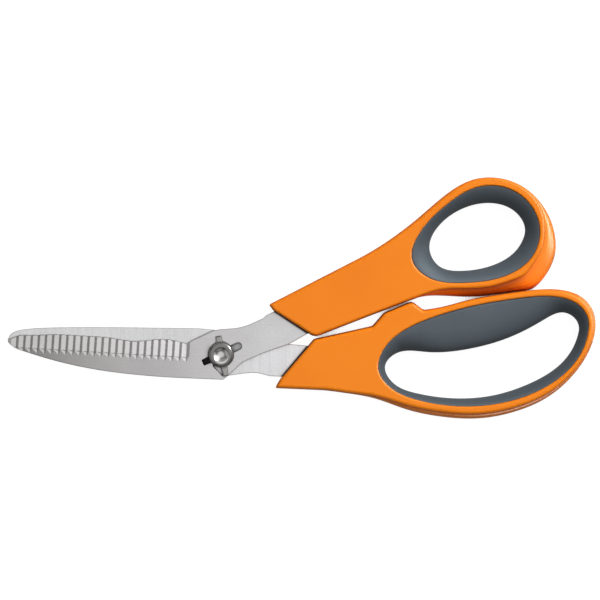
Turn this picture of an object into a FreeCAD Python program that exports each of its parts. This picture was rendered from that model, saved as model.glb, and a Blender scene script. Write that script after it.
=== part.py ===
import FreeCAD, Part
import Sketcher
import math
import os

from FreeCAD import Placement, Rotation, Vector

# Take-apart fabric shears, closed, lying flat with the tips towards -X and +Z up.
# Every piece is drawn about the pivot: the pivot axis is the sketches' origin, the plane where
# the two blades meet is their z = 0, the front blade lies above it and the rear blade below.
# Last of all the bodies are placed so that the model's origin is the middle of the shears'
# outline on the table they lie on.

doc = FreeCAD.newDocument("Shears")
sheet = doc.addObject("Spreadsheet::Sheet", "Dimensions")

DIMENSIONS = {
    # place of the pivot in the model's frame
    "pivot_x": (-31.5, "pivot axis from the middle of the closed shears"),
    "pivot_y": (-21.8, "pivot axis from the middle of the closed shears"),
    # blades
    "blade_thickness": (2.2, "both blades and their tangs"),
    "bevel_angle": (15.0, "slope of the ground bevel, degrees"),
    "shoulder_x": (-20.0, "a point on the bevel's shoulder line"),
    "shoulder_y": (-0.8, "a point on the bevel's shoulder line"),
    "shoulder_turn": (-3.4, "direction of the shoulder line in plan, degrees"),
    "bevel_end_x": (-12.6, "where the bevel stops before the ricasso"),
    "flute_pitch": (2.77, "distance from flute to flute"),
    "flute_depth": (0.5, "deepest side of each flute"),
    "flute_wall": (0.85, "plan width of each flute's steep wall"),
    "last_flute": (7.2, "upper edge of the flute nearest the pivot, beyond shoulder_x"),
    "flute_count": (25, "flutes along the front blade"),
    "blade_edge_round": (0.22, "broken edge round the seen face of each blade"),
    "lock_hole_radius": (3.0, "hole in each tang that the handle fills"),
    "rear_shoulder_y": (1.6, "the plain bevel's shoulder on the rear blade, at shoulder_x"),
    "rear_shoulder_turn": (-7.8, "direction of the rear blade's shoulder line, degrees"),
    "rear_bevel_end_x": (-6.0, "where the rear blade's bevel stops"),
    # pivot
    "journal_radius": (4.9, "round part of the stud the front blade turns on"),
    "running_clearance": (0.05, "between journal and front blade hole, all round"),
    "rivet_radius": (3.0, "stud shank in the rear blade"),
    "rivet_head_radius": (4.4, "peened head behind the rear blade"),
    "rivet_head_height": (1.0, "peened head behind the rear blade"),
    "journal_height": (4.5, "top of the stud above the blade plane"),
    "journal_round": (1.0, "rounding of the stud's upper rim"),
    "dimple_radius": (2.9, "mouth of the concave dimple"),
    "dimple_depth": (0.75, "dimple in the top of the stud"),
    "lug_gap": (0.05, "between lug and front blade face"),
    "lug_thickness": (1.1, "both lugs of the stud"),
    "lug_round": (0.6, "rounding along the lugs' upper edges"),
    "coin_depth": (0.9, "ramp stamped beside the lower lug"),
    # handles
    "half_thickness": (6.5, "each shell, from the seam plane to its flat face"),
    "waist_depth": (4.0, "depth below the seam where the back shell is widest"),
    "seam_ledge": (0.4, "rim of the back shell standing proud of the front shell"),
    "thumb_face_round": (0.9, "rounding of the thumb shells' outer edge"),
    "finger_face_round": (1.1, "rounding of the finger shells' outer edge"),
    "window_round": (0.55, "rounding of the shell's edge around a grip"),
    "seam_chamfer": (0.25, "broken lower edge of a front shell, which draws the seam"),
    # soft grips
    "grip_half_thickness": (5.9, "grip ring above and below the seam plane"),
    "thumb_grip_round": (3.2, "rounding of the grip into the thumb hole"),
    "finger_grip_round": (2.4, "rounding of the grip into the finger hole"),
}

for row, (alias, (value, note)) in enumerate(DIMENSIONS.items(), start=1):
    sheet.set("A%d" % row, alias)
    sheet.set("B%d" % row, str(value))
    sheet.set("C%d" % row, note)
    sheet.setAlias("B%d" % row, alias)
doc.recompute()


def size(alias):
    """A dimension as it stands in the sheet."""
    return float(sheet.get(alias))


# ---------------------------------------------------------------------------
# Outlines.  A run is a list of nodes (x, y, kind, inset):
#   kind "smooth"  the outline passes through the point on a flowing curve
#   kind <number>  a corner between straight stretches, rounded to that radius
# inset is how far the front shell's outline lies inside this (back shell) outline.
# ---------------------------------------------------------------------------

THUMB_HANDLE = [
    (20.3, 17.1, 1.0, 0.3), (18.6, 19.4, 0.6, 0.3),
    (54.0, 37.6, "smooth", 0.4), (66.0, 44.9, "smooth", 0.4), (77.0, 53.3, "smooth", 0.4),
    (87.5, 62.2, "smooth", 0.4), (98.0, 68.1, "smooth", 0.4), (109.5, 68.6, "smooth", 0.4),
    (119.5, 64.4, "smooth", 0.6), (126.4, 57.0, "smooth", 1.7), (130.1, 48.0, "smooth", 4.0),
    (130.3, 38.5, "smooth", 5.9), (126.4, 30.3, "smooth", 6.7), (121.6, 25.7, "smooth", 6.2),
    (114.5, 24.4, "smooth", 4.7), (106.0, 23.2, "smooth", 3.4), (94.5, 22.5, "smooth", 3.2),
    (85.5, 22.9, "smooth", 2.3),
    (78.5, 22.5, "smooth", 0.6), (71.0, 20.0, "smooth", 0.4),
    (36.4, 6.6, 4.0, 0.4),
]

FINGER_HANDLE = [
    (20.9, -13.2, 0.6, 0.3), (23.3, -9.2, 4.0, 0.3),
    (36.1, 6.0, 1.9, 0.4),
    (59.0, 11.1, 2.6, 0.4),
    (63.4, 16.2, 2.2, 0.4),
    (74.4, 20.8, 2.4, 0.4),
    (79.0, 17.3, 3.0, 0.4),
    (84.0, 18.1, "smooth", 0.3), (96.0, 21.1, "smooth", 0.2), (108.0, 23.3, "smooth", 0.2),
    (121.0, 25.0, "smooth", 0.2), (131.5, 25.3, "smooth", 0.4), (139.7, 23.1, "smooth", 0.8),
    (144.8, 18.0, "smooth", 1.0), (146.2, 10.3, "smooth", 1.0), (143.5, 0.8, "smooth", 1.0),
    (137.0, -8.7, "smooth", 1.2), (127.5, -16.8, "smooth", 1.5), (115.5, -22.2, "smooth", 1.8),
    (101.5, -25.0, "smooth", 1.9), (86.0, -24.4, "smooth", 1.9), (71.5, -21.3, "smooth", 1.6),
    (60.0, -17.3, "smooth", 1.0), (49.0, -15.2, "smooth", 0.4), (39.0, -14.0, "smooth", 0.4),
]

THUMB_WINDOW = [
    (124.0, 45.5), (119.0, 35.5), (108.0, 29.6), (94.0, 27.8), (81.0, 29.8), (74.5, 36.5),
    (77.5, 47.5), (87.5, 58.0), (98.5, 64.7), (109.5, 65.3), (119.0, 60.0), (123.3, 53.0),
]
THUMB_HOLE = [
    (118.3, 46.5), (113.5, 39.0), (104.5, 34.3), (94.0, 32.6), (85.0, 34.5), (81.3, 41.5),
    (85.3, 50.5), (93.5, 56.5), (103.5, 59.0), (113.0, 56.8), (117.7, 51.8),
]
FINGER_WINDOW = [
    (143.2, 11.0), (137.5, -3.6), (124.0, -14.0), (108.0, -19.2), (92.0, -20.2),
    (77.0, -17.9), (66.0, -13.0), (61.3, -6.0), (63.8, 2.7), (72.0, 9.8), (85.0, 15.3),
    (100.0, 19.3), (116.0, 21.9), (130.0, 22.5), (139.5, 19.1),
]
FINGER_HOLE = [
    (139.5, 9.0), (133.0, -3.2), (120.0, -11.5), (105.0, -16.2), (90.0, -17.1),
    (76.0, -15.1), (67.0, -11.0), (64.0, -4.5), (68.0, 0.2), (80.0, 0.9), (95.0, 1.8),
    (112.0, 6.4), (126.0, 13.5), (133.5, 16.3), (138.0, 14.0),
]

# The tangs run on inside the handles; their pockets use the same straight sides.
# Nodes of straight outlines are (x, y, corner radius).
FRONT_TANG = [
    (16.4, 14.1, 0), (17.6, 15.2, 0.4), (53.0, 33.2, 4.0), (57.0, 21.1, 4.0), (26.5, 4.0, 0),
]
REAR_TANG = [(20.0, 4.6, 0), (55.0, 1.3, 4.0), (55.0, -10.2, 4.0), (18.9, -8.5, 0)]
FRONT_LOCK_HOLE = (43.5, 21.6)
REAR_LOCK_HOLE = (44.0, -4.0)

# Ramp stamped into the front blade's face beside the lower lug.
COINED_RAMP = [(-3.2, -3.4, 0), (-3.2, -4.6, 0), (0.6, -8.7, 0), (1.2, -4.0, 0)]

# Radial shapes about the pivot: direction in degrees, outer end's distance from the axis,
# width at the root and at the outer end, and whether the end is a half circle.
SQUARE_NOTCH = {"angle": 205.0, "reach": 7.9, "root": 2.9, "end": 2.3, "rounded": False}
ROUND_NOTCH = {"angle": 25.5, "reach": 8.85, "root": 3.2, "end": 3.0, "rounded": True}
UPPER_LUG = {"angle": 98.7, "reach": 7.25, "root": 2.9, "end": 2.3, "rounded": False}
LOWER_LUG = {"angle": -77.0, "reach": 8.8, "root": 2.8, "end": 2.1, "rounded": False}

# How much a radial shape's root overlaps the round part it grows from.
ROOT_OVERLAP = 1.5

# Steps of the arched wall of a back shell, from upright at the waist to level at the seam.
ARCH_ANGLES = (90, 72, 54, 36, 18, 0)

# Smallest length and volume that count as a difference.
SAME_LENGTH = 1e-4
SAME_VOLUME = 1e-6


def unit(vector):
    return Vector(vector).normalize()


def sketch_arc(arc):
    """The arc as a trimmed circle, which a sketch can hold."""
    edge = arc.toShape()
    return edge.Curve.trim(*edge.ParameterRange)


def travelled(points):
    """Distance from the first point to each point, by straight steps."""
    distances = [0.0]
    for before, after in zip(points, points[1:]):
        distances.append(distances[-1] + before.distanceToPoint(after))
    return distances


def closed_curve(points):
    """One smooth closed curve through the points."""
    places = [Vector(x, y, 0) for x, y in points]
    curve = Part.BSplineCurve()
    curve.interpolate(Points=places, Parameters=travelled(places + places[:1]),
                      PeriodicFlag=True)
    return [curve]


def flowing(points, start_direction, end_direction):
    """One smooth open curve, leaving and arriving along the given directions."""
    curve = Part.BSplineCurve()
    curve.interpolate(Points=points, Parameters=travelled(points),
                      InitialTangent=unit(start_direction),
                      FinalTangent=unit(end_direction), Scale=False)
    return curve


def corner_arc(before, at, after, radius):
    """Arc that rounds the corner 'at' between two straight stretches."""
    incoming = unit(at - before)
    outgoing = unit(after - at)
    turn = incoming.getAngle(outgoing)
    reach = radius * math.tan(turn / 2)
    start = at - incoming * reach
    end = at + outgoing * reach
    to_middle = unit(outgoing - incoming)
    middle = at + to_middle * (radius / math.cos(turn / 2) - radius)
    return Part.Arc(start, middle, end), start, end


def outline(nodes):
    """Closed outline through nodes that start with x, y and kind, see the note above."""
    places = [Vector(node[0], node[1], 0) for node in nodes]
    kinds = [node[2] for node in nodes]
    count = len(nodes)
    first = next(i for i in range(count) if kinds[i] != "smooth")
    pieces = []
    pen = None
    opening = None
    step = 0
    while step < count:
        i = (first + step) % count
        before = places[i - 1]
        if kinds[i] == "smooth":
            run = [i]
            while kinds[(run[-1] + 1) % count] == "smooth":
                run.append((run[-1] + 1) % count)
            after = places[(run[-1] + 1) % count]
            points = [places[k] for k in run]
            curve = flowing(points, points[0] - before, after - points[-1])
            pieces.append(Part.LineSegment(pen, points[0]))
            pieces.append(curve)
            pen = points[-1]
            step += len(run)
            continue
        after = places[(i + 1) % count]
        start, end = places[i], places[i]
        arc = None
        if kinds[i] > 0:
            arc, start, end = corner_arc(before, places[i], after, kinds[i])
            arc = sketch_arc(arc)
        if pen is None:
            opening = start
        else:
            pieces.append(Part.LineSegment(pen, start))
        if arc is not None:
            pieces.append(arc)
        pen = end
        step += 1
    pieces.append(Part.LineSegment(pen, opening))
    return pieces


def turning_side(nodes):
    """+1 when the run goes counter-clockwise, -1 when clockwise."""
    area = 0.0
    for i, node in enumerate(nodes):
        area += nodes[i - 1][0] * node[1] - node[0] * nodes[i - 1][1]
    return 1.0 if area > 0 else -1.0


def inset_nodes(nodes, ledge=0.0, share=1.0):
    """The run moved inwards by a share of each node's own inset, less the ledge."""
    count = len(nodes)
    side = turning_side(nodes)
    moved = []
    for i, (x, y, kind, inset) in enumerate(nodes):
        at = Vector(x, y, 0)
        before = Vector(nodes[i - 1][0], nodes[i - 1][1], 0)
        after = Vector(nodes[(i + 1) % count][0], nodes[(i + 1) % count][1], 0)
        normal_in = unit(Vector(0, 0, 1).cross(at - before))
        normal_out = unit(Vector(0, 0, 1).cross(after - at))
        distance = side * share * max(inset - ledge, 0.0)
        shift = (normal_in + normal_out) * (distance / (1 + normal_in.dot(normal_out)))
        moved.append((x + shift.x, y + shift.y, kind))
    return moved


# ---------------------------------------------------------------------------
# Body helpers
# ---------------------------------------------------------------------------

def new_body(label):
    body = doc.addObject("PartDesign::Body", label)
    body.Label = label
    return body


def origin_plane(body, role):
    return next(o for o in body.Origin.OriginFeatures if o.Role == role)


def new_sketch(body, name, pieces, role="XY_Plane", wanted=None, height=None):
    """Sketch on an origin plane of the body, moved to 'wanted' or to a height from the sheet."""
    sketch = body.newObject("Sketcher::SketchObject", name)
    plane = origin_plane(body, role)
    sketch.AttachmentSupport = (plane, [""])
    sketch.MapMode = "FlatFace"
    if wanted is not None:
        sketch.AttachmentOffset = plane.Placement.inverse() * wanted
    if height is not None:
        sketch.setExpression("AttachmentOffset.Base.z", height)
    sketch.addGeometry(pieces, False)
    doc.recompute()
    return sketch


def circle_sketch(body, name, centre, radius_formula, role="XY_Plane"):
    """Circle whose radius follows the sheet."""
    circle = Part.Circle(Vector(*centre, 0), Vector(0, 0, 1), 1.0)
    sketch = new_sketch(body, name, [circle], role)
    sketch.addConstraint(Sketcher.Constraint("Radius", 0, 1.0))
    sketch.setExpression("Constraints[0]", radius_formula)
    return sketch


def pad(body, name, sketch, length, reverse=False):
    feature = body.newObject("PartDesign::Pad", name)
    feature.Profile = sketch
    feature.setExpression("Length", length)
    feature.Reversed = reverse
    doc.recompute()
    return feature


def pocket(body, name, sketch, length=None, upward=False):
    """Pocket to a depth from the sheet, or right through both ways when no depth is given."""
    before = body.Shape.Volume
    feature = body.newObject("PartDesign::Pocket", name)
    feature.Profile = sketch
    if length is None:
        feature.Type = "ThroughAll"
        feature.SideType = "Symmetric"
    else:
        feature.setExpression("Length", length)
        feature.Reversed = upward
    doc.recompute()
    if body.Shape.Volume >= before - SAME_VOLUME:
        raise RuntimeError("%s removed nothing" % name)
    return feature


def level_edges(shape, height, keep=None):
    """Names of the edges lying at one height, optionally only those that pass a test."""
    names = []
    for number, edge in enumerate(shape.Edges, start=1):
        box = edge.BoundBox
        flat = abs(box.ZMin - height) < SAME_LENGTH and abs(box.ZMax - height) < SAME_LENGTH
        if flat and (keep is None or keep(edge)):
            names.append("Edge%d" % number)
    return names


def fillet(body, name, edges, radius, kind="Fillet"):
    """Rounds the edges, or breaks them with a flat when kind is Chamfer."""
    base = body.Tip
    feature = body.newObject("PartDesign::" + kind, name)
    feature.Base = (base, edges)
    feature.setExpression("Radius" if kind == "Fillet" else "Size", radius)
    doc.recompute()
    return feature


# ---------------------------------------------------------------------------
# Blades
# ---------------------------------------------------------------------------

def shoulder_frame(shoulder_y, turn):
    """x along the shoulder line, y across the blade, z up, in the plane where the blades meet."""
    return Placement(Vector(size("shoulder_x"), shoulder_y, 0), Rotation(Vector(0, 0, 1), turn))


def bevel_profile_frame(shoulder_y, turn):
    """Sketch frame across the shoulder line: sketch x across the blade, sketch y along +Z."""
    across = Rotation(Vector(0, 1, 0), Vector(0, 0, 1), Vector(1, 0, 0), "ZXY")
    return shoulder_frame(shoulder_y, turn) * Placement(Vector(0, 0, 0), across)


def blade_bevel(body, name, outer_face, shoulder_y, turn, end_x):
    """Grinds the slope between the shoulder line and the cutting edge.
    outer_face is +1 for the front blade (edge towards +Y), -1 for the rear blade."""
    slope = math.tan(math.radians(size("bevel_angle")))
    past_edge = 14.0
    past_tip = 90.0
    above_face = 2.0
    face = outer_face * size("blade_thickness")
    clear = face + outer_face * above_face
    corners = [
        Vector(0, face, 0),
        Vector(outer_face * past_edge, face - outer_face * slope * past_edge, 0),
        Vector(outer_face * past_edge, clear, 0),
        Vector(0, clear, 0),
    ]
    lines = [Part.LineSegment(corners[i - 1], corners[i]) for i in range(4)]
    sketch = new_sketch(body, name + "Profile", lines, "YZ_Plane",
                        bevel_profile_frame(shoulder_y, turn))
    before = body.Shape.Volume
    cut = body.newObject("PartDesign::Pocket", name)
    cut.Profile = sketch
    cut.SideType = "Two sides"
    cut.Length = past_tip
    cut.setExpression("Length2", "Dimensions.%s - Dimensions.shoulder_x" % end_x)
    doc.recompute()
    if body.Shape.Volume >= before - SAME_VOLUME:
        raise RuntimeError("%s removed nothing" % name)
    return sketch


def cut_flutes(body, bevel_sketch):
    """Saw-tooth flutes across the bevel: a long shallow flank, then a steep wall."""
    tilt = Rotation(Vector(1, 0, 0), -size("bevel_angle"))
    upright = Rotation(Vector(1, 0, 0), Vector(0, 0, 1), Vector(0, -1, 0), "ZXY")
    start = Placement(Vector(0, 0, size("blade_thickness")), tilt * upright)
    frame = shoulder_frame(size("shoulder_y"), size("shoulder_turn")) * start
    pitch = size("flute_pitch")
    above_bevel = 0.4
    start_x = size("last_flute") - pitch
    end_x = size("last_flute")
    corners = [
        Vector(start_x, 0, 0),
        Vector(end_x - size("flute_wall"), -size("flute_depth"), 0),
        Vector(end_x, 0, 0),
        Vector(end_x, above_bevel, 0),
        Vector(start_x, above_bevel, 0),
    ]
    lines = [Part.LineSegment(corners[i - 1], corners[i]) for i in range(5)]
    sketch = new_sketch(body, "FluteProfile", lines, "XZ_Plane", frame)
    flute = pocket(body, "Flute", sketch)
    pattern = body.newObject("PartDesign::LinearPattern", "FluteRow")
    pattern.Originals = [flute]
    pattern.Direction = (bevel_sketch, ["N_Axis"])
    pattern.Reversed = True
    pattern.Length = pitch * (size("flute_count") - 1)
    pattern.Occurrences = int(size("flute_count"))
    body.Tip = pattern
    doc.recompute()


def radial_outline(shape):
    """Outline of a radial notch or lug, from inside the stud's round part outwards."""
    turn = Rotation(Vector(0, 0, 1), shape["angle"])
    inner = size("journal_radius") - ROOT_OVERLAP
    half_root = shape["root"] / 2
    half_end = shape["end"] / 2
    shoulder = shape["reach"] - (half_end if shape["rounded"] else 0.0)
    corners = [
        turn.multVec(Vector(inner, -half_root, 0)),
        turn.multVec(Vector(shoulder, -half_end, 0)),
        turn.multVec(Vector(shoulder, half_end, 0)),
        turn.multVec(Vector(inner, half_root, 0)),
    ]
    end = Part.LineSegment(corners[1], corners[2])
    if shape["rounded"]:
        tip = turn.multVec(Vector(shape["reach"], 0, 0))
        end = sketch_arc(Part.Arc(corners[1], tip, corners[2]))
    return [
        Part.LineSegment(corners[0], corners[1]),
        end,
        Part.LineSegment(corners[2], corners[3]),
        Part.LineSegment(corners[3], corners[0]),
    ]


def front_blade():
    body = new_body("front_blade")
    cutting_edge = [
        (-80.1, 6.9), (-74.2, 7.4), (-65.9, 7.7), (-54.0, 7.2), (-43.2, 6.4), (-38.1, 5.5),
        (-33.8, 5.05), (-29.7, 5.3), (-25.0, 5.85), (-21.0, 5.8), (-17.5, 5.2), (-14.0, 4.3),
    ]
    ricasso = [
        (-11.0, 5.5), (-6.8, 7.5), (-2.3, 9.4), (2.6, 10.0), (7.6, 10.6), (12.2, 12.2),
    ]
    heel = [(22.6, 2.7), (18.9, 1.4), (14.7, -0.2), (10.5, -2.1), (7.4, -3.8)]
    spine = [
        (-16.0, -9.2), (-32.8, -8.0), (-48.5, -6.0), (-64.0, -2.7), (-72.0, -0.4),
        (-76.5, 1.05), (-80.3, 2.5), (-82.3, 3.95),
    ]
    nodes = [(-83.7, 5.4, 0.7)]
    nodes += [(x, y, "smooth") for x, y in cutting_edge]
    nodes += [(-13.4, 4.25, 0)]
    nodes += [(x, y, "smooth") for x, y in ricasso]
    nodes += FRONT_TANG
    nodes += [(x, y, "smooth") for x, y in heel]
    nodes += [(3.0, -8.1, 1.0), (0.8, -9.9, 1.0)]
    nodes += [(x, y, "smooth") for x, y in spine]
    sketch = new_sketch(body, "FrontOutline", outline(nodes))
    pad(body, "FrontPlate", sketch, "Dimensions.blade_thickness")
    face_edges = level_edges(body.Tip.Shape, size("blade_thickness"))
    fillet(body, "FrontEdgeRound", face_edges, "Dimensions.blade_edge_round")
    bevel = blade_bevel(body, "FrontBevel", 1, size("shoulder_y"), size("shoulder_turn"),
                        "bevel_end_x")
    cut_flutes(body, bevel)
    hole = circle_sketch(body, "PivotHoleCircle", (0, 0),
                         "Dimensions.journal_radius + Dimensions.running_clearance")
    pocket(body, "PivotHole", hole)
    for name, shape in (("SquareNotch", SQUARE_NOTCH), ("RoundNotch", ROUND_NOTCH)):
        notch = new_sketch(body, name + "Outline", radial_outline(shape))
        pocket(body, name, notch)
    coin = new_sketch(body, "CoinedRampOutline", outline(COINED_RAMP),
                      height="Dimensions.blade_thickness")
    pocket(body, "CoinedRamp", coin, "Dimensions.coin_depth")
    lock = circle_sketch(body, "FrontLockCircle", FRONT_LOCK_HOLE, "Dimensions.lock_hole_radius")
    pocket(body, "FrontLockHole", lock)
    return body


def rear_blade():
    body = new_body("rear_blade")
    spine = [
        (-82.7, 7.1), (-80.2, 9.0), (-76.6, 9.8), (-66.0, 10.45), (-51.4, 10.6), (-35.5, 10.5),
        (-19.6, 10.3), (-3.8, 9.7), (4.0, 8.3), (12.0, 6.3),
    ]
    heel = [(15.5, -7.6), (12.0, -7.2), (8.2, -7.6), (3.7, -8.2), (-2.0, -8.6)]
    cutting_edge = [(-9.0, -6.0), (-20.0, -3.2), (-38.0, -0.6), (-60.0, 2.2), (-78.0, 4.6)]
    nodes = [(-83.5, 5.4, 0.5)]
    nodes += [(x, y, "smooth") for x, y in spine]
    nodes += REAR_TANG
    nodes += [(x, y, "smooth") for x, y in heel + cutting_edge]
    sketch = new_sketch(body, "RearOutline", outline(nodes))
    pad(body, "RearPlate", sketch, "Dimensions.blade_thickness", reverse=True)
    fillet(body, "RearEdgeRound", level_edges(body.Tip.Shape, 0.0), "Dimensions.blade_edge_round")
    blade_bevel(body, "RearBevel", -1, size("rear_shoulder_y"), size("rear_shoulder_turn"),
                "rear_bevel_end_x")
    hole = circle_sketch(body, "RivetHoleCircle", (0, 0), "Dimensions.rivet_radius")
    pocket(body, "RivetHole", hole)
    lock = circle_sketch(body, "RearLockCircle", REAR_LOCK_HOLE, "Dimensions.lock_hole_radius")
    pocket(body, "RearLockHole", lock)
    return body


# ---------------------------------------------------------------------------
# Pivot stud
# ---------------------------------------------------------------------------

def dome(mouth_radius, mouth_z, pole_z):
    """Spherical profile in the turning half-plane, from the mouth's rim to the pole on the axis."""
    rise = pole_z - mouth_z
    radius = (mouth_radius ** 2 + rise ** 2) / (2 * abs(rise))
    centre_z = pole_z - math.copysign(radius, rise)
    half_angle = math.asin(mouth_radius / radius) / 2
    middle = Vector(radius * math.sin(half_angle),
                    centre_z + math.copysign(radius * math.cos(half_angle), rise), 0)
    return Part.Arc(Vector(mouth_radius, mouth_z, 0), middle, Vector(0, pole_z, 0))


def quarter_round(radius, height, rounding):
    """Profile of the rounded upper rim of a turned part."""
    diagonal = rounding * math.sqrt(0.5)
    middle = Vector(radius - rounding + diagonal, height - rounding + diagonal, 0)
    return Part.Arc(Vector(radius, height - rounding, 0), middle,
                    Vector(radius - rounding, height, 0))


def pivot_stud():
    body = new_body("pivot_stud")
    thickness = size("blade_thickness")
    rivet = size("rivet_radius")
    head = size("rivet_head_radius")
    head_low = -thickness - size("rivet_head_height")
    journal = size("journal_radius")
    top = size("journal_height")
    rim = size("journal_round")
    mouth = size("dimple_radius")
    dimple_low = top - size("dimple_depth")
    side = [Vector(head, -thickness, 0), Vector(rivet, -thickness, 0), Vector(rivet, 0, 0),
            Vector(journal, 0, 0), Vector(journal, top - rim, 0)]
    profile = [Part.LineSegment(side[i], side[i + 1]) for i in range(4)]
    profile.append(sketch_arc(quarter_round(journal, top, rim)))
    profile.append(Part.LineSegment(Vector(journal - rim, top, 0), Vector(mouth, top, 0)))
    profile.append(sketch_arc(dome(mouth, top, dimple_low)))
    profile.append(Part.LineSegment(Vector(0, dimple_low, 0), Vector(0, head_low, 0)))
    profile.append(sketch_arc(dome(head, -thickness, head_low)))
    sketch = new_sketch(body, "StudProfile", profile, "XZ_Plane")
    turned = body.newObject("PartDesign::Revolution", "TurnedStud")
    turned.Profile = sketch
    turned.ReferenceAxis = (sketch, ["V_Axis"])
    turned.Angle = 360
    doc.recompute()
    for name, shape in (("UpperLug", UPPER_LUG), ("LowerLug", LOWER_LUG)):
        lug = new_sketch(body, name + "Outline", radial_outline(shape),
                         height="Dimensions.blade_thickness + Dimensions.lug_gap")
        pad(body, name, lug, "Dimensions.lug_thickness")
    lug_top = thickness + size("lug_gap") + size("lug_thickness")
    straight = level_edges(body.Tip.Shape, lug_top, lambda edge: "Line" in edge.Curve.TypeId)
    fillet(body, "LugRound", straight, "Dimensions.lug_round")
    return body


# ---------------------------------------------------------------------------
# Handles
# ---------------------------------------------------------------------------

def tang_pocket(body, name, tang, lock_hole, upward):
    """Seat of the tang, with a boss left standing that fills the tang's lock hole."""
    boss = Part.Circle(Vector(*lock_hole, 0), Vector(0, 0, 1), size("lock_hole_radius"))
    seat = new_sketch(body, name + "Outline", outline(tang) + [boss])
    pocket(body, name, seat, "Dimensions.blade_thickness", upward=upward)


def window_test(window):
    """True for edges that lie on the window's rim."""
    xs = [x for x, y in window]
    ys = [y for x, y in window]
    margin = 1.0

    def on_rim(edge):
        box = edge.BoundBox
        inside_x = box.XMin > min(xs) - margin and box.XMax < max(xs) + margin
        inside_y = box.YMin > min(ys) - margin and box.YMax < max(ys) + margin
        return edge.isClosed() and inside_x and inside_y

    return on_rim


def round_face(body, height, window, rounding):
    """Rounds the outer edge of the shell's flat face and the edge around its window."""
    on_window = window_test(window)
    outer = level_edges(body.Tip.Shape, height, lambda edge: not on_window(edge))
    fillet(body, body.Label + "_outer_round", outer, rounding)
    inner = level_edges(body.Tip.Shape, height, on_window)
    fillet(body, body.Label + "_window_round", inner, "Dimensions.window_round")


def front_shell(label, nodes, window, rounding):
    body = new_body(label)
    sketch = new_sketch(body, label + "_outline", outline(inset_nodes(nodes)))
    pad(body, label + "_block", sketch, "Dimensions.half_thickness")
    opening = new_sketch(body, label + "_window", closed_curve(window))
    pocket(body, label + "_opening", opening)
    round_face(body, size("half_thickness"), window, rounding)
    on_window = window_test(window)
    seam_edges = level_edges(body.Tip.Shape, 0.0, lambda edge: not on_window(edge))
    fillet(body, label + "_seam_edge", seam_edges, "Dimensions.seam_chamfer", "Chamfer")
    return body


def back_shell(label, nodes, window, rounding):
    """Widest at the waist; above it the wall arches in, as a quarter ellipse, to the seam."""
    body = new_body(label)
    waist = new_sketch(body, label + "_waist", outline(nodes), height="-Dimensions.waist_depth")
    pad(body, label + "_block", waist,
        "Dimensions.half_thickness - Dimensions.waist_depth", reverse=True)
    levels = []
    for angle in ARCH_ANGLES:
        depth = 1 - math.cos(math.radians(angle))
        share = 1 - math.sin(math.radians(angle))
        level_nodes = inset_nodes(nodes, size("seam_ledge"), share)
        levels.append(new_sketch(body, "%s_level_%d" % (label, angle), outline(level_nodes),
                                 height="-Dimensions.waist_depth * %.6f" % depth))
    arch = body.newObject("PartDesign::AdditiveLoft", label + "_arch")
    arch.Profile = levels[0]
    arch.Sections = [(level, [""]) for level in levels[1:]]
    arch.Ruled = True
    doc.recompute()
    opening = new_sketch(body, label + "_window", closed_curve(window))
    pocket(body, label + "_opening", opening)
    round_face(body, -size("half_thickness"), window, rounding)
    return body


# ---------------------------------------------------------------------------
# Soft grips
# ---------------------------------------------------------------------------

def grip(label, window, hole, rounding):
    """Ring that fills the window of both shells and rolls over into the hole."""
    body = new_body(label)
    ring = new_sketch(body, label + "_outline", closed_curve(window))
    ring_pad = pad(body, label + "_ring", ring, "2 * Dimensions.grip_half_thickness")
    ring_pad.SideType = "Symmetric"
    doc.recompute()
    opening = new_sketch(body, label + "_hole", closed_curve(hole))
    pocket(body, label + "_opening", opening)
    on_hole = window_test(hole)
    half = size("grip_half_thickness")
    edges = level_edges(body.Tip.Shape, half, on_hole)
    edges += level_edges(body.Tip.Shape, -half, on_hole)
    fillet(body, label + "_roll", edges, rounding)
    return body


def build():
    bodies = [front_blade(), rear_blade(), pivot_stud()]
    thumb_round = "Dimensions.thumb_face_round"
    finger_round = "Dimensions.finger_face_round"
    thumb_front = front_shell("thumb_handle_front", THUMB_HANDLE, THUMB_WINDOW, thumb_round)
    tang_pocket(thumb_front, "ThumbTangSeat", FRONT_TANG, FRONT_LOCK_HOLE, True)
    thumb_back = back_shell("thumb_handle_back", THUMB_HANDLE, THUMB_WINDOW, thumb_round)
    finger_front = front_shell("finger_handle_front", FINGER_HANDLE, FINGER_WINDOW, finger_round)
    finger_back = back_shell("finger_handle_back", FINGER_HANDLE, FINGER_WINDOW, finger_round)
    tang_pocket(finger_back, "FingerTangSeat", REAR_TANG, REAR_LOCK_HOLE, False)
    bodies += [thumb_front, thumb_back, finger_front, finger_back]
    bodies.append(grip("thumb_grip", THUMB_WINDOW, THUMB_HOLE, "Dimensions.thumb_grip_round"))
    bodies.append(grip("finger_grip", FINGER_WINDOW, FINGER_HOLE, "Dimensions.finger_grip_round"))
    for body in bodies:
        place_in_frame(body)
    return bodies


def place_in_frame(body):
    """Moves a finished piece from the pivot's frame to the model's, lying on z = 0."""
    body.setExpression("Placement.Base.x", "Dimensions.pivot_x")
    body.setExpression("Placement.Base.y", "Dimensions.pivot_y")
    body.setExpression("Placement.Base.z", "Dimensions.half_thickness")


def export(bodies):
    doc.recompute()
    for item in doc.Objects:
        if "Invalid" in item.State or "Error" in item.State:
            raise RuntimeError("%s did not compute" % item.Name)
    os.makedirs("parts", exist_ok=True)
    for body in bodies:
        shape = body.Shape
        if shape.isNull() or not shape.isValid() or len(shape.Solids) != 1:
            raise RuntimeError("%s is not one valid solid" % body.Label)
        shape.exportStep("parts/%s.step" % body.Label)


export(build())
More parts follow.
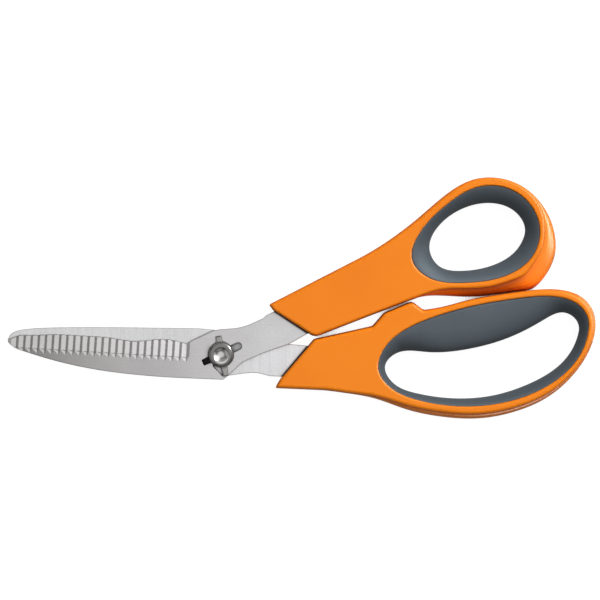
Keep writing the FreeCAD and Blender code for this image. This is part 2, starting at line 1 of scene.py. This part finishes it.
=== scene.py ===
"""Take-apart shears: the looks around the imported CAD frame.

Metal and plastic pieces are the CAD's own nodes with procedural materials. The two soft grips are
rebuilt here as crowned rings that roll over into the finger and thumb openings.
"""

import math

import bmesh
import bpy
import numpy as np
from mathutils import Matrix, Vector


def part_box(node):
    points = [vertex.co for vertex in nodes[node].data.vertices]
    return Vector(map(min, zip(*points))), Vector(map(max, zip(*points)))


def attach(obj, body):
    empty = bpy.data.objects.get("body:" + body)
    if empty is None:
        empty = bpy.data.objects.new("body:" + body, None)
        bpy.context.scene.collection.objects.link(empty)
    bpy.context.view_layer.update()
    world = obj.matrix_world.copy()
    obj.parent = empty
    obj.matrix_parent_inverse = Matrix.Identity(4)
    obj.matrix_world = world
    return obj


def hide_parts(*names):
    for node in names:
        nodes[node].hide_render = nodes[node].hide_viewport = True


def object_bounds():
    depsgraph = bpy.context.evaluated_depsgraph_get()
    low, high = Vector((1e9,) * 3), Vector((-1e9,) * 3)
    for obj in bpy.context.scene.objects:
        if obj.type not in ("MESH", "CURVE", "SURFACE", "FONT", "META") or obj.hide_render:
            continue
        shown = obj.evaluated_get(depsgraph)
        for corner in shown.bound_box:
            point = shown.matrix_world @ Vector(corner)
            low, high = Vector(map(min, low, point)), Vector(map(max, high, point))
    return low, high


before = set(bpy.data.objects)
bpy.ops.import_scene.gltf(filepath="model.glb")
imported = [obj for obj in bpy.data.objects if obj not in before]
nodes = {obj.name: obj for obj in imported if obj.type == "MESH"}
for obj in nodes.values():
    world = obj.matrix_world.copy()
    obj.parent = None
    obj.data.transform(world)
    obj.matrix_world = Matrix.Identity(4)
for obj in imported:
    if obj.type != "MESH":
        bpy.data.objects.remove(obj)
CAD_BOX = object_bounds()

MM = 0.001
WHITE = (1.0, 1.0, 1.0)

# ---------------------------------------------------------------------------
# Shader nodes
# ---------------------------------------------------------------------------


def new_material(name):
    """A new material, its node tree and its principled shader."""
    material = bpy.data.materials.new(name)
    material.use_nodes = True
    tree = material.node_tree
    return material, tree, tree.nodes["Principled BSDF"]


def add(tree, kind, **settings):
    """Adds a node, setting properties by name and inputs by their socket name."""
    node = tree.nodes.new(kind)
    for key, value in settings.items():
        if hasattr(node, key) and key not in node.inputs:
            setattr(node, key, value)
        else:
            node.inputs[key].default_value = value
    return node


def link(tree, source, target):
    """Connects an output socket to an input socket."""
    tree.links.new(source, target)


def object_position(tree):
    """Position on the piece in the CAD frame at rest; it rides along when the shears open."""
    return add(tree, "ShaderNodeTexCoord").outputs["Object"]


def noise(tree, scale, detail, roughness, stretch=(1, 1, 1), turn=0.0):
    """Noise over the piece. An uneven stretch turns it into a directional grain."""
    mapping = add(tree, "ShaderNodeMapping", Scale=stretch, Rotation=(0, 0, turn))
    link(tree, object_position(tree), mapping.inputs["Vector"])
    node = add(tree, "ShaderNodeTexNoise", Scale=scale, Detail=detail, Roughness=roughness)
    link(tree, mapping.outputs["Vector"], node.inputs["Vector"])
    return node.outputs["Fac"]


def ramp(tree, factor, stops):
    """Colour ramp through (position, colour) stops."""
    node = add(tree, "ShaderNodeValToRGB")
    elements = node.color_ramp.elements
    while len(elements) < len(stops):
        elements.new(0.5)
    for element, (position, colour) in zip(elements, stops):
        element.position = position
        element.color = (*colour, 1)
    link(tree, factor, node.inputs["Fac"])
    return node.outputs["Color"]


def map_range(tree, value, start, end, low=0.0, high=1.0, interpolation="LINEAR"):
    """Maps start..end to low..high and holds the ends."""
    node = add(tree, "ShaderNodeMapRange", interpolation_type=interpolation)
    limits = {"From Min": start, "From Max": end, "To Min": low, "To Max": high}
    for socket, limit in limits.items():
        node.inputs[socket].default_value = limit
    link(tree, value, node.inputs["Value"])
    return node.outputs["Result"]


def smooth_step(tree, value, start, end):
    """0 below start, 1 above end, eased in between."""
    return map_range(tree, value, start, end, interpolation="SMOOTHSTEP")


def mix_colours(tree, factor, first, second, blend="MIX"):
    """Mixes two colours. The factor is a float or a socket, a colour a tuple or a socket."""
    node = add(tree, "ShaderNodeMix", data_type="RGBA", blend_type=blend)
    if isinstance(factor, float):
        node.inputs["Factor"].default_value = factor
    else:
        link(tree, factor, node.inputs["Factor"])
    for name, value in (("A", first), ("B", second)):
        target = [s for s in node.inputs if s.name == name and s.type == "RGBA"][0]
        if isinstance(value, tuple):
            target.default_value = (*value, 1)
        else:
            link(tree, value, target)
    return [s for s in node.outputs if s.type == "RGBA"][0]


def multiply(tree, first, second):
    """Product of two colours."""
    return mix_colours(tree, 1.0, first, second, "MULTIPLY")


def vector_math(tree, operation, vector, operand=(0, 0, 0)):
    """One vector operation with a constant operand. Dot products and lengths are numbers."""
    node = add(tree, "ShaderNodeVectorMath", operation=operation)
    link(tree, vector, node.inputs[0])
    node.inputs[1].default_value = operand
    return node.outputs["Value" if operation in ("DOT_PRODUCT", "LENGTH") else "Vector"]


def component(tree, vector, axis):
    """The X, Y or Z component of a vector."""
    node = add(tree, "ShaderNodeSeparateXYZ")
    link(tree, vector, node.inputs["Vector"])
    return node.outputs[axis]


def crease_shade(tree, colour, reach, closed, clear, tint):
    """Paints shade into a colour where neighbouring surfaces close in within the reach.
    The painted shade is full where the open share of the surroundings is below 'closed', gone at
    'clear'."""
    occlusion = add(tree, "ShaderNodeAmbientOcclusion", samples=12, Distance=reach)
    openness = smooth_step(tree, occlusion.outputs["AO"], closed, clear)
    return multiply(tree, colour, ramp(tree, openness, [(0.0, tint), (1.0, WHITE)]))


def bumps(tree, shader, layers, edge_radius=None):
    """Chains bump layers (height socket, distance, strength) into the shader's normal.
    An edge radius softens the shading of sharp edges."""
    previous = None
    if edge_radius is not None:
        previous = add(tree, "ShaderNodeBevel", samples=8, Radius=edge_radius).outputs["Normal"]
    for height, distance, strength in layers:
        bump = add(tree, "ShaderNodeBump", Strength=strength, Distance=distance)
        link(tree, height, bump.inputs["Height"])
        if previous is not None:
            link(tree, previous, bump.inputs["Normal"])
        previous = bump.outputs["Normal"]
    link(tree, previous, shader.inputs["Normal"])


# ---------------------------------------------------------------------------
# Steel
# ---------------------------------------------------------------------------

# Grain of the ground steel: noise cells per metre along x, y and z.
LENGTHWISE = (60, 2600, 900)
ACROSS = (2600, 60, 900)
LONG_GRAIN = 0.4                    # cells of the longer grain per cell of the fine one

# The finish of each blade.
#   shade: darkest and lightest colour of the grain, mixed in by the share 'streaks'
#   level_shade_tones, sloping_shade_tones: painted shade along the blades, darker towards the tip,
#       on level and on sloping faces
#   step_shade_tint: painted shade beside a step, on the cutting side of the stud
#   mouth: the handle that the blade enters and the outward plan normal of its end face
BLADES = {
    "front_blade": {
        "grain": LENGTHWISE,
        "shade": ((0.69, 0.685, 0.68), (0.79, 0.785, 0.79)),
        "streaks": 0.30,
        "level_shade_tones": [(0.0, (0.31, 0.31, 0.305)), (0.25, (0.61, 0.595, 0.59)),
                       (0.55, (0.86, 0.845, 0.845)), (0.8, (1.0, 1.0, 1.01))],
        "sloping_shade_tones": [(0.0, (0.64, 0.625, 0.62)), (0.26, (0.70, 0.685, 0.68)),
                        (0.55, (0.96, 0.945, 0.945))],
        "step_shade_tint": (0.76, 0.75, 0.74),
        "mouth": ("thumb_handle_front", (-0.550, -0.835, 0)),
    },
    "rear_blade": {
        "grain": ACROSS,
        "shade": ((0.78, 0.78, 0.785), (0.98, 0.98, 0.985)),
        "streaks": 0.55,
        "level_shade_tones": [(0.0, (0.84, 0.84, 0.84)), (0.6, (0.87, 0.87, 0.87)),
                       (0.8, (1.0, 1.0, 1.01))],
        "sloping_shade_tones": [(0.0, (0.92, 0.92, 0.92)), (0.6, (0.96, 0.96, 0.96))],
        "step_shade_tint": (0.22, 0.21, 0.205),
        "mouth": ("finger_handle_front", (-0.765, 0.644, 0)),
    },
}

# A face slopes where its upward normal is below the first number, and is level above the second;
# the painted shade along the blades is set apart for each.
LEVEL_NORMAL = (0.975, 0.992)

# Painted shadow on the steel outside a handle's mouth, from its darkest to where it ends.
MOUTH_SHADOW = (0.3 * MM, 1.15 * MM)
MOUTH_SHADOW_TINT = (0.035, 0.018, 0.010)

# Offsets along x from the stud: where the painted shadow lines at steps fade out towards the
# handles, and where the darker painted shadow in the notch on the tip side gives way to that of the
# other notches.
STEP_LINES_END = (-1 * MM, 4 * MM)
TIP_NOTCH_END = (-5.0 * MM, -3.6 * MM)

# Distance from the stud at which the painted shadow in the notches ends.
NOTCH_RIM = (8.6 * MM, 10.2 * MM)

# Tones of the pivot stud by distance from its axis, and where its painted crease shade begins.
STUD_REACH = 10 * MM
# The bright dimple and dark collar are painted light and shade, standing in for how each mirrors
# the studio.
STUD_PAINTED_TONES = [
    (2.8 * MM, (0.56, 0.55, 0.545)),    # dimple
    (3.0 * MM, (0.19, 0.185, 0.18)),    # collar
    (4.7 * MM, (0.19, 0.185, 0.18)),
    (5.1 * MM, (0.30, 0.295, 0.29)),    # lugs
]
DIMPLE_RIM = (2.7 * MM, 3.1 * MM)


def stud_axis():
    """A point on the pivot axis, level with the blades."""
    low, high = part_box("pivot_stud")
    return (low + high) / 2


def offset_from_stud(tree):
    """Distance from the pivot axis in plan, and the offset along x."""
    offset = vector_math(tree, "SUBTRACT", object_position(tree), stud_axis())
    plan = vector_math(tree, "MULTIPLY", offset, (1, 1, 0))
    return vector_math(tree, "LENGTH", plan), component(tree, offset, "X")


def grain_colour(tree, fine, speckle, grain, shade, streaks):
    """Grain of two lengths over a plain colour, with specks and broad clouding."""
    low, high = shade
    plain = tuple((a + b) / 2 for a, b in zip(low, high))
    long_grain = tuple(LONG_GRAIN * cells for cells in grain)
    broad = noise(tree, 1.0, detail=2.0, roughness=0.5, stretch=long_grain)
    colour = mix_colours(tree, streaks, plain, ramp(tree, fine, [(0.3, low), (0.7, high)]))
    broad_colour = ramp(tree, broad, [(0.35, low), (0.65, high)])
    colour = mix_colours(tree, 0.5 * streaks, colour, broad_colour)
    shaded = (0.90, 0.90, 0.905)
    clouds = noise(tree, 55.0, detail=3.0, roughness=0.55)
    colour = multiply(tree, colour, ramp(tree, speckle, [(0.35, shaded), (0.65, WHITE)]))
    return multiply(tree, colour, ramp(tree, clouds, [(0.3, shaded), (0.7, WHITE)]))


def painted_length_shade(tree, colour, level_shade_tones, sloping_shade_tones):
    """Painted shade along the front blade's length, darker towards the tip, set apart for level and
    for sloping faces.
    """
    low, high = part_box("front_blade")
    along = map_range(tree, component(tree, object_position(tree), "X"), low.x, high.x)
    normal = add(tree, "ShaderNodeNewGeometry").outputs["True Normal"]
    level = smooth_step(tree, component(tree, normal, "Z"), *LEVEL_NORMAL)
    tone = mix_colours(tree, level, ramp(tree, along, sloping_shade_tones), ramp(tree, along, level_shade_tones))
    return multiply(tree, colour, tone)


def painted_crease_shadows(tree, colour, step_shade_tint):
    """Painted shadow lines beside the steps between the blades, and painted shadow in the notches
    round the stud.
    """
    from_stud, along_x = offset_from_stud(tree)
    step_shadowed = crease_shade(tree, colour, reach=1.2 * MM, closed=0.44, clear=0.78, tint=step_shade_tint)
    colour = mix_colours(tree, smooth_step(tree, along_x, *STEP_LINES_END), step_shadowed, colour)
    others = crease_shade(tree, colour, reach=4.0 * MM, closed=0.20, clear=0.52,
                          tint=(0.05, 0.05, 0.05))
    tip_notch_shadow = crease_shade(tree, colour, reach=4.0 * MM, closed=0.45, clear=0.90,
                             tint=(0.02, 0.02, 0.02))
    notches = mix_colours(tree, smooth_step(tree, along_x, *TIP_NOTCH_END), tip_notch_shadow, others)
    return mix_colours(tree, smooth_step(tree, from_stud, *NOTCH_RIM), notches, colour)


def mouth_shadow(tree, colour, handle, outward):
    """Painted shadow: a dark line on the steel where it enters the handle."""
    outward = Vector(outward).normalized()
    mouth = max(vertex.co.dot(outward) for vertex in nodes[handle].data.vertices)
    along = vector_math(tree, "DOT_PRODUCT", object_position(tree), outward)
    dark_end, light_start = MOUTH_SHADOW
    clear = smooth_step(tree, along, mouth + dark_end, mouth + light_start)
    return multiply(tree, colour, ramp(tree, clear, [(0.0, MOUTH_SHADOW_TINT), (1.0, WHITE)]))


def ground_steel(name, grain, shade, streaks, level_shade_tones, sloping_shade_tones, step_shade_tint, mouth):
    """Ground steel: grain along one direction, specks, clouding, painted shade along the length and
    painted shadow lines.
    """
    material, tree, shader = new_material(name)
    fine = noise(tree, 1.0, detail=4.0, roughness=0.6, stretch=grain)
    speckle = noise(tree, 1500.0, detail=2.0, roughness=0.6)
    colour = grain_colour(tree, fine, speckle, grain, shade, streaks)
    colour = painted_length_shade(tree, colour, level_shade_tones, sloping_shade_tones)
    colour = painted_crease_shadows(tree, colour, step_shade_tint)
    colour = mouth_shadow(tree, colour, *mouth)
    link(tree, colour, shader.inputs["Base Color"])
    shader.inputs["Metallic"].default_value = 1.0
    link(tree, map_range(tree, speckle, 0, 1, 0.32, 0.44), shader.inputs["Roughness"])
    layers = [(fine, 0.02 * MM, 0.8 * streaks), (speckle, 0.02 * MM, 0.25)]
    bumps(tree, shader, layers, edge_radius=0.42 * MM)
    return material


def polished_steel():
    """Polished stud: dimple painted bright and collar painted dark, lugs in between, painted crease
    shade, small handling marks.
    """
    material, tree, shader = new_material("stud_polished_steel")
    marks = noise(tree, 900.0, detail=4.0, roughness=0.65)
    patches = noise(tree, 160.0, detail=2.0, roughness=0.5)
    from_stud, _ = offset_from_stud(tree)
    zone = map_range(tree, from_stud, 0, STUD_REACH)
    tone = ramp(tree, zone, [(distance / STUD_REACH, tone) for distance, tone in STUD_PAINTED_TONES])
    wear = ramp(tree, patches, [(0.3, (0.84, 0.84, 0.84)), (0.7, WHITE)])
    painted_and_worn = multiply(tree, tone, wear)
    crease_shaded = crease_shade(tree, painted_and_worn, reach=1.4 * MM, closed=0.45, clear=0.90,
                           tint=(0.20, 0.19, 0.18))
    colour = mix_colours(tree, smooth_step(tree, from_stud, *DIMPLE_RIM), painted_and_worn, crease_shaded)
    link(tree, colour, shader.inputs["Base Color"])
    shader.inputs["Metallic"].default_value = 1.0
    link(tree, map_range(tree, marks, 0, 1, 0.14, 0.26), shader.inputs["Roughness"])
    bumps(tree, shader, [(marks, 0.02 * MM, 0.25), (patches, 0.1 * MM, 0.12)])
    return material


# ---------------------------------------------------------------------------
# Plastic, rubber and floor
# ---------------------------------------------------------------------------

def orange_plastic():
    """Moulded satin plastic: faint orange peel, slight colour drift, micro scuffs, painted shade in
    seams and creases.
    """
    material, tree, shader = new_material("handle_orange_plastic")
    peel = noise(tree, 900.0, detail=2.0, roughness=0.5)
    drift = noise(tree, 28.0, detail=2.0, roughness=0.5)
    scuffs = noise(tree, 1.0, detail=4.0, roughness=0.7, stretch=(900, 120, 400), turn=0.5)
    colour = ramp(tree, drift, [(0.3, (0.90, 0.215, 0.003)), (0.7, (0.95, 0.245, 0.006))])
    # Painted shade: dark lines in seams and creases, and a broader painted shade where the handles
    # close in on each other.
    colour = crease_shade(tree, colour, reach=1.0 * MM, closed=0.42, clear=0.78,
                          tint=(0.48, 0.30, 0.25))
    colour = crease_shade(tree, colour, reach=7.0 * MM, closed=0.20, clear=0.62,
                          tint=(0.62, 0.42, 0.9))
    link(tree, colour, shader.inputs["Base Color"])
    link(tree, map_range(tree, scuffs, 0, 1, 0.32, 0.44), shader.inputs["Roughness"])
    shader.inputs["Specular IOR Level"].default_value = 0.45
    shader.inputs["Specular Tint"].default_value = (1.0, 0.62, 0.30, 1)
    shader.inputs["Coat Weight"].default_value = 0.12
    shader.inputs["Coat Roughness"].default_value = 0.16
    layers = [(peel, 0.03 * MM, 0.18), (drift, 0.2 * MM, 0.1)]
    bumps(tree, shader, layers, edge_radius=0.8 * MM)
    return material


def grip_rubber():
    """Soft-touch rubber: matte, finely stippled, with a slight dusty bloom."""
    material, tree, shader = new_material("grip_soft_rubber")
    stipple = noise(tree, 2600.0, detail=2.0, roughness=0.6)
    clouds = noise(tree, 45.0, detail=3.0, roughness=0.55)
    colour = ramp(tree, clouds, [(0.3, (0.064, 0.079, 0.092)), (0.7, (0.078, 0.094, 0.108))])
    link(tree, colour, shader.inputs["Base Color"])
    link(tree, map_range(tree, stipple, 0, 1, 0.50, 0.64), shader.inputs["Roughness"])
    shader.inputs["Specular IOR Level"].default_value = 0.4
    shader.inputs["Sheen Weight"].default_value = 0.08
    shader.inputs["Sheen Roughness"].default_value = 0.4
    bumps(tree, shader, [(stipple, 0.03 * MM, 0.3)])
    return material


def floor_paper():
    """White studio paper, lit from within like a light table, its glow darkened by a painted shadow
    in the narrow gap between the handles. It glows less towards the pieces than towards the camera."""
    material, tree, shader = new_material("studio_floor")
    fibre = noise(tree, 300.0, detail=3.0, roughness=0.5)
    colour = ramp(tree, fibre, [(0.3, (0.16, 0.16, 0.16)), (0.7, (0.18, 0.18, 0.18))])
    link(tree, colour, shader.inputs["Base Color"])
    shader.inputs["Roughness"].default_value = 1.0
    shader.inputs["Specular IOR Level"].default_value = 0.0
    camera_ray = add(tree, "ShaderNodeLightPath").outputs["Is Camera Ray"]
    glow = map_range(tree, camera_ray, 0, 1, 0.2, 0.95)
    slit_shadow = crease_shade(tree, WHITE, reach=5.0 * MM, closed=0.08, clear=0.18,
                        tint=(0.12, 0.03, 0.01))
    link(tree, slit_shadow, shader.inputs["Emission Color"])
    link(tree, glow, shader.inputs["Emission Strength"])
    return material


# ---------------------------------------------------------------------------
# Objects
# ---------------------------------------------------------------------------

def new_object(name, data):
    """An object round some data, placed in the scene."""
    obj = bpy.data.objects.new(name, data)
    bpy.context.scene.collection.objects.link(obj)
    return obj


def assign(obj, material):
    """Makes the material the object's only one."""
    obj.data.materials.clear()
    obj.data.materials.append(material)


# ---------------------------------------------------------------------------
# Soft grips
# ---------------------------------------------------------------------------

SAME_PLACE = 0.001 * MM             # points closer than this coincide
WALL_NORMAL = 0.02                  # an upright wall's normal rises less than this
RING_POINTS = 300                   # points round each grip
RING_ROWS = 26                      # rows from the hole to the window
STEPS_PER_POINT = 5                 # outline steps per ring point while outlines are matched
EVENING_SHARE = 36                  # the matching is evened out over an outline's 36th part
WALL_GAP = 0.02 * MM                # clearance to the handle's window
EDGE_ROUND = 0.3 * MM               # width of the rounding beside the window
EDGE_DROP = 0.05 * MM               # how far the rounding falls
NARROW, WIDE = 6 * MM, 14 * MM      # ring widths with the least and the most fullness
LEAST_FULLNESS, ADDED_FULLNESS = 1.45, 1.3


def welded_mesh(node):
    """A CAD node's mesh with its coincident points merged."""
    mesh = bmesh.new()
    mesh.from_mesh(nodes[node].data)
    bmesh.ops.remove_doubles(mesh, verts=mesh.verts, dist=SAME_PLACE)
    mesh.normal_update()
    mesh.verts.index_update()
    return mesh


def loop_from_edges(edges):
    """Orders a closed chain of edges into a list of points."""
    neighbours = {}
    for edge in edges:
        a, b = edge.verts
        neighbours.setdefault(a.index, []).append(b)
        neighbours.setdefault(b.index, []).append(a)
    start = edges[0].verts[0]
    points = [start.co.copy()]
    previous, current = start, neighbours[start.index][0]
    while current.index != start.index:
        points.append(current.co.copy())
        onward = [v for v in neighbours[current.index] if v.index != previous.index]
        previous, current = current, onward[0]
    return points


def ring_outlines(node):
    """Outlines of the window that a grip fills, at its top, and of its hole, near mid height."""
    mesh = welded_mesh(node)
    low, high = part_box(node)
    middle = (low.z + high.z) / 2
    waist_height = min(abs(v.co.z - middle) for v in mesh.verts)

    def lies_at(edge, level):
        return all(abs(v.co.z - level) < SAME_PLACE for v in edge.verts)

    rim = [edge for edge in mesh.edges if lies_at(edge, high.z)
           and min(abs(face.normal.z) for face in edge.link_faces) < WALL_NORMAL]
    waist = [edge for edge in mesh.edges if lies_at(edge, middle + waist_height)]
    outlines = loop_from_edges(rim), loop_from_edges(waist)
    mesh.free()
    return outlines


def evenly_spaced(points, count):
    """A closed outline resampled in equal steps, counter-clockwise, starting at its right end."""
    xy = np.array([(p.x, p.y) for p in points])
    following = np.roll(xy, -1, axis=0)
    if (xy[:, 0] * following[:, 1] - following[:, 0] * xy[:, 1]).sum() < 0:
        xy = xy[::-1]
    xy = np.roll(xy, -int(np.argmax(xy[:, 0])), axis=0)
    closed = np.vstack([xy, xy[:1]])
    along = np.concatenate([[0], np.cumsum(np.hypot(*np.diff(closed, axis=0).T))])
    wanted = along[-1] * np.arange(count) / count
    return np.stack([np.interp(wanted, along, closed[:, k]) for k in (0, 1)], axis=1)


def smoothed_round(values, reach, times):
    """Moving average of a periodic series."""
    kernel = np.ones(2 * reach + 1) / (2 * reach + 1)
    for _ in range(times):
        wrapped = np.concatenate([values[-reach:], values, values[:reach]])
        values = np.convolve(wrapped, kernel, mode="valid")
    return values


def matched_outlines(node):
    """Window outline and hole outline of a grip as paired points round the ring.
    Each window point is paired near its closest hole point, evened out round the ring."""
    outer_points, inner_points = ring_outlines(node)
    fine = STEPS_PER_POINT * RING_POINTS
    outer = evenly_spaced(outer_points, fine)
    inner = evenly_spaced(inner_points, fine)
    gaps = np.hypot(outer[:, None, 0] - inner[None, :, 0], outer[:, None, 1] - inner[None, :, 1])
    shift = gaps.argmin(1) - np.arange(fine)
    shift = (shift + fine // 2) % fine - fine // 2
    shift = smoothed_round(shift.astype(float), reach=fine // EVENING_SHARE, times=4)
    wrapped = np.vstack([inner, inner, inner, inner[:1]])
    places = np.arange(fine) + shift
    axis = np.arange(-fine, 2 * fine + 1)
    paired = np.stack([np.interp(places, axis, wrapped[:, k]) for k in (0, 1)], axis=1)
    return outer[::STEPS_PER_POINT], paired[::STEPS_PER_POINT]


def distance_to(points, outline):
    """Distance of each point to a closed outline, by its segments."""
    step = np.roll(outline, -1, axis=0) - outline
    offset = points[:, None, :] - outline[None]
    share = np.clip((offset * step[None]).sum(2) / (step ** 2).sum(1)[None], 0, 1)
    nearest = outline[None] + share[:, :, None] * step[None]
    return np.sqrt(((points[:, None, :] - nearest) ** 2).sum(2)).min(1)


def crowned_rows(node, half):
    """Rows of plan points with their heights above the middle, from the hole to the window."""
    outer, inner = matched_outlines(node)
    inward = inner - outer
    inward /= np.linalg.norm(inward, axis=1)[:, None]
    outer = outer + inward * WALL_GAP
    rows = []
    for row in range(RING_ROWS):
        share = 1 - math.cos(0.5 * math.pi * row / (RING_ROWS - 1))
        plan = inner + (outer - inner) * share
        to_hole = distance_to(plan, inner)
        to_window = distance_to(plan, outer)
        width = to_hole + to_window
        wideness = np.clip((width - NARROW) / (WIDE - NARROW), 0, 1)
        fullness = LEAST_FULLNESS + ADDED_FULLNESS * wideness
        reach = np.clip(to_hole / width, 0, 1)
        height = half * (1 - (1 - reach) ** fullness) ** (1 / fullness)
        near_window = np.clip(1 - to_window / EDGE_ROUND, 0, 1)
        rows.append((plan, height - EDGE_DROP * near_window ** 2))
    return rows


def crowned_grip(name, node, body, material):
    """Ring nearly flush with the plastic outside, sloping and rolling over into the opening."""
    low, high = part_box(node)
    middle = (low.z + high.z) / 2
    rows = crowned_rows(node, (high.z - low.z) / 2)
    mesh = bmesh.new()

    def ring(plan, height, side):
        return [mesh.verts.new((x, y, middle + side * z)) for (x, y), z in zip(plan, height)]

    def bridge(ring_a, ring_b):
        for i in range(RING_POINTS):
            j = (i + 1) % RING_POINTS
            mesh.faces.new((ring_a[i], ring_a[j], ring_b[j], ring_b[i]))

    upper = [ring(plan, height, 1) for plan, height in rows]
    lower = [upper[0]] + [ring(plan, height, -1) for plan, height in rows[1:]]
    for row in range(RING_ROWS - 1):
        bridge(upper[row + 1], upper[row])
        bridge(lower[row], lower[row + 1])
    bridge(lower[-1], upper[-1])
    bmesh.ops.recalc_face_normals(mesh, faces=mesh.faces)
    for face in mesh.faces:
        face.smooth = True
    data = bpy.data.meshes.new(name)
    mesh.to_mesh(data)
    mesh.free()
    piece = new_object(name, data)
    assign(piece, material)
    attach(piece, body)
    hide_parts(node)
    return piece


# ---------------------------------------------------------------------------
# Stage
# ---------------------------------------------------------------------------

FLOOR_REACH = 3.0
FLOOR_GAP = 0.02 * MM
LIGHT_DISTANCE = 1.3
COOL = (0.50, 0.66, 1.0)            # offsets the orange tint of the plastic's highlights

# Soft panels of the studio sky: direction, cosines where a panel begins and is full, strength.
PANELS = (
    ((0.02, 0.02, 1.0), 0.86, 0.97, 0.98),
    ((0.50, 0.45, 0.74), 0.86, 0.985, 1.35),
    ((0.95, -0.10, 0.30), 0.80, 0.97, 0.5),
    ((-0.85, 0.10, 0.50), 0.55, 0.95, 0.14),
)
AMBIENT = 0.13

SENSOR_WIDTH = 36.0
CAMERA_DISTANCE = 2.6
FOCUS_HEIGHT = 5 * MM               # height over the underside where the view's width is set
VIEW_PER_LENGTH = 1.0207            # width of the view over the shears' length
VIEW_OFFSET = (-0.72 * MM, -0.75 * MM)


def build_floor():
    """A large flat sheet just under the shears."""
    low, _ = CAD_BOX
    mesh = bpy.data.meshes.new("floor")
    corners = [(-FLOOR_REACH, -FLOOR_REACH, 0), (FLOOR_REACH, -FLOOR_REACH, 0),
               (FLOOR_REACH, FLOOR_REACH, 0), (-FLOOR_REACH, FLOOR_REACH, 0)]
    mesh.from_pydata(corners, [], [(0, 1, 2, 3)])
    floor = new_object("floor", mesh)
    floor.location.z = low[2] - FLOOR_GAP
    assign(floor, floor_paper())


def studio_world():
    """Dark studio with four soft panels in its sky."""
    world = bpy.data.worlds.new("studio")
    bpy.context.scene.world = world
    world.use_nodes = True
    tree = world.node_tree
    background = tree.nodes["Background"]
    sky = add(tree, "ShaderNodeTexCoord").outputs["Generated"]
    glow = None
    for direction, begins, full, strength in PANELS:
        facing = vector_math(tree, "DOT_PRODUCT", sky, Vector(direction).normalized())
        total = add(tree, "ShaderNodeMath", operation="MULTIPLY_ADD")
        link(tree, smooth_step(tree, facing, begins, full), total.inputs[0])
        total.inputs[1].default_value = strength
        total.inputs[2].default_value = AMBIENT
        if glow is not None:
            link(tree, glow, total.inputs[2])
        glow = total.outputs["Value"]
    link(tree, glow, background.inputs["Color"])
    background.inputs["Strength"].default_value = 1.0


def disc_light(name, direction, size, power):
    """Disc light aimed at the middle of the shears from a direction."""
    data = bpy.data.lights.new(name, "AREA")
    data.shape = "DISK"
    data.size = size
    data.energy = power
    light = new_object(name, data)
    towards = Vector(direction).normalized()
    light.location = towards * LIGHT_DISTANCE
    light.rotation_euler = towards.to_track_quat("Z", "Y").to_euler()
    return light


def build_key_light():
    """The main light. It lights the pieces but isn't mirrored in them."""
    light = disc_light("key_light", (0.45, 0.60, 0.66), size=0.8, power=12.4)
    light.visible_glossy = False


def highlight(name, direction, size, power, pieces, colour=WHITE):
    """A light that is mirrored in some pieces and adds nothing else."""
    light = disc_light(name, direction, size, power)
    light.data.color = colour
    light.visible_diffuse = False
    receivers = bpy.data.collections.new(name + "_receivers")
    for piece in pieces:
        receivers.objects.link(piece)
    light.light_linking.receiver_collection = receivers


def build_highlights(grips):
    """Highlights on the shells, the grips, the stud and, from all round, on the steel."""
    stud = nodes["pivot_stud"]
    back_shells = [nodes["thumb_handle_back"], nodes["finger_handle_back"]]
    front_shells = [nodes["thumb_handle_front"], nodes["finger_handle_front"]]
    highlight("edge_light", (0.92, 0.34, 0.40), 1.40, 120.0, back_shells, COOL)
    highlight("lip_light", (0.90, 0.34, 0.50), 1.40, 48.0, front_shells, COOL)
    highlight("rim_light", (0.40, 0.62, 0.55), 0.90, 6.0, back_shells + front_shells, COOL)
    highlight("low_light", (0.35, -0.80, 0.45), 0.90, 40.0, back_shells, COOL)
    highlight("grip_light", (0.40, 0.62, 0.55), 1.20, 26.0, grips, (0.72, 0.88, 1.0))
    highlight("stud_light", (0.70, 0.55, 0.75), 0.34, 17.0, [stud])
    steel = [nodes["front_blade"], nodes["rear_blade"], stud]
    horizon = {"right": (1, 0.3), "far": (-0.3, 1), "left": (-1, -0.3), "near": (0.3, -1)}
    for side, (x, y) in horizon.items():
        highlight("horizon_" + side, (x, y, 0.40), 1.8, 2.8, steel)


def build_camera():
    """Straight above the closed shears, a long lens, the length just inside the frame."""
    low, high = CAD_BOX
    data = bpy.data.cameras.new("camera")
    data.sensor_width = SENSOR_WIDTH
    data.lens = SENSOR_WIDTH * CAMERA_DISTANCE / (VIEW_PER_LENGTH * (high[0] - low[0]))
    camera = new_object("camera", data)
    camera.location = ((low[0] + high[0]) / 2 + VIEW_OFFSET[0],
                       (low[1] + high[1]) / 2 + VIEW_OFFSET[1],
                       low[2] + FOCUS_HEIGHT + CAMERA_DISTANCE)
    bpy.context.scene.camera = camera


# ---------------------------------------------------------------------------
# Assembly
# ---------------------------------------------------------------------------

for blade, finish in BLADES.items():
    assign(nodes[blade], ground_steel(blade + "_steel", **finish))
assign(nodes["pivot_stud"], polished_steel())
orange = orange_plastic()
for name, obj in nodes.items():
    if "handle" in name:
        assign(obj, orange)
rubber = grip_rubber()
grips = [
    crowned_grip("thumb_grip_ring", "thumb_grip", "front_half", rubber),
    crowned_grip("finger_grip_pad", "finger_grip", "rear_half", rubber),
]

build_floor()
studio_world()
build_key_light()
build_highlights(grips)
build_camera()
bpy.context.scene.view_settings.view_transform = "Standard"
